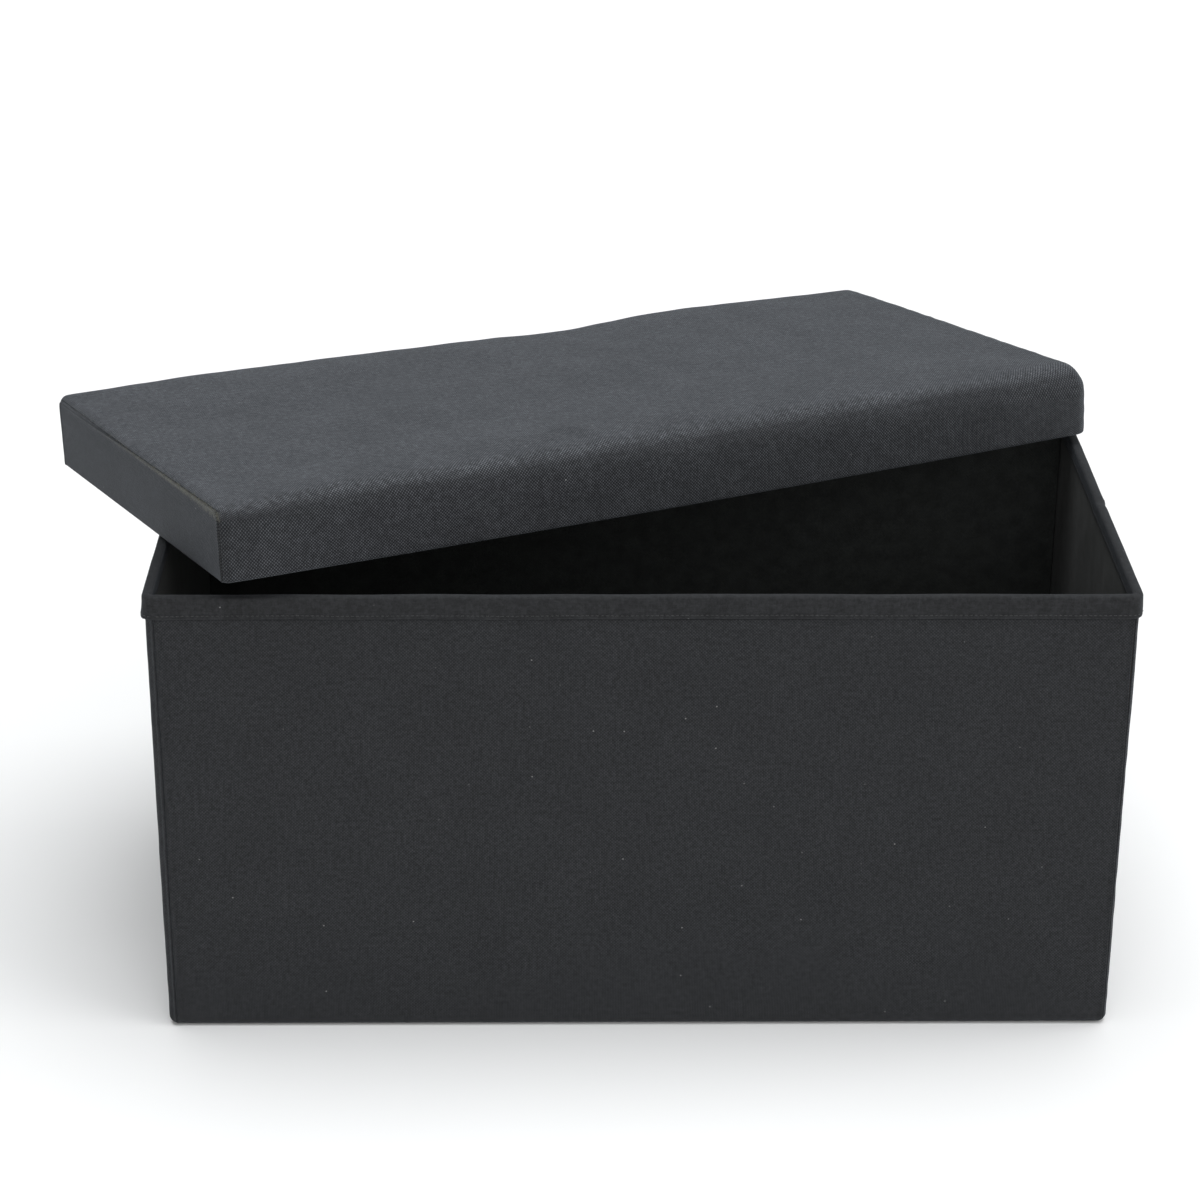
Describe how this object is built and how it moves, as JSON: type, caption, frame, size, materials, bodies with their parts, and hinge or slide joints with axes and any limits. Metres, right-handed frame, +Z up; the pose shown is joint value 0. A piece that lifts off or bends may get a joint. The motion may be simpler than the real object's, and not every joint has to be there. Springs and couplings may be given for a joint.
{
  "type": "storage ottoman",
  "caption": "Long fabric-covered storage ottoman with folding board walls, a loose base board and a padded lift-off lid laid askew on its rim.",
  "frame": {"origin": "centre of the box's flat underside, on the surface it stands on", "axes": "+Z up, +X to the right along the long side seen from the front, +Y to the back"},
  "size_m": [0.8791, 0.7057, 0.4581],
  "materials": {
    "cover_fabric": "matte charcoal woven polyester",
    "binding_fabric": "matte charcoal woven polyester, folded double",
    "lining_fabric": "matte black non-woven felt",
    "fibreboard": "raw brown fibreboard",
    "foam": "open-cell polyurethane foam",
    "ribbon": "black ribbed ribbon"
  },
  "bodies": {
    "box": {"bottom_cover": "cover_fabric", "front_cover": "cover_fabric", "front_board": "fibreboard", "front_lining": "lining_fabric", "front_binding": "binding_fabric", "back_cover": "cover_fabric", "back_board": "fibreboard", "back_lining": "lining_fabric", "back_binding": "binding_fabric", "left_cover": "cover_fabric", "left_front_board": "fibreboard", "left_rear_board": "fibreboard", "left_lining": "lining_fabric", "left_binding": "binding_fabric", "right_cover": "cover_fabric", "right_front_board": "fibreboard", "right_rear_board": "fibreboard", "right_lining": "lining_fabric", "right_binding": "binding_fabric"},
    "base_board": {"base_board_core": "fibreboard", "base_board_cover": "lining_fabric", "pull_tab": "ribbon"},
    "lid": {"lid_board": "fibreboard", "lid_foam": "foam", "lid_top_cover": "cover_fabric", "lid_ceiling_lining": "lining_fabric", "lid_front_cover": "cover_fabric", "lid_front_skirt_board": "fibreboard", "lid_front_lining": "lining_fabric", "lid_back_cover": "cover_fabric", "lid_back_skirt_board": "fibreboard", "lid_back_lining": "lining_fabric", "lid_left_cover": "cover_fabric", "lid_left_skirt_board": "fibreboard", "lid_left_lining": "lining_fabric", "lid_right_cover": "cover_fabric", "lid_right_skirt_board": "fibreboard", "lid_right_lining": "lining_fabric"}
  },
  "joints": [
    {"name": "lid_lift", "type": "slide", "parent": "box", "child": "lid", "axis": [0, 0, 1], "range_m": [0, 0.45]},
    {"name": "base_board_tip", "type": "hinge", "parent": "box", "child": "base_board", "pos_m": [0, 0.182, 0.0073], "axis": [-1, 0, 0], "range_deg": [0, 85]}
  ]
}
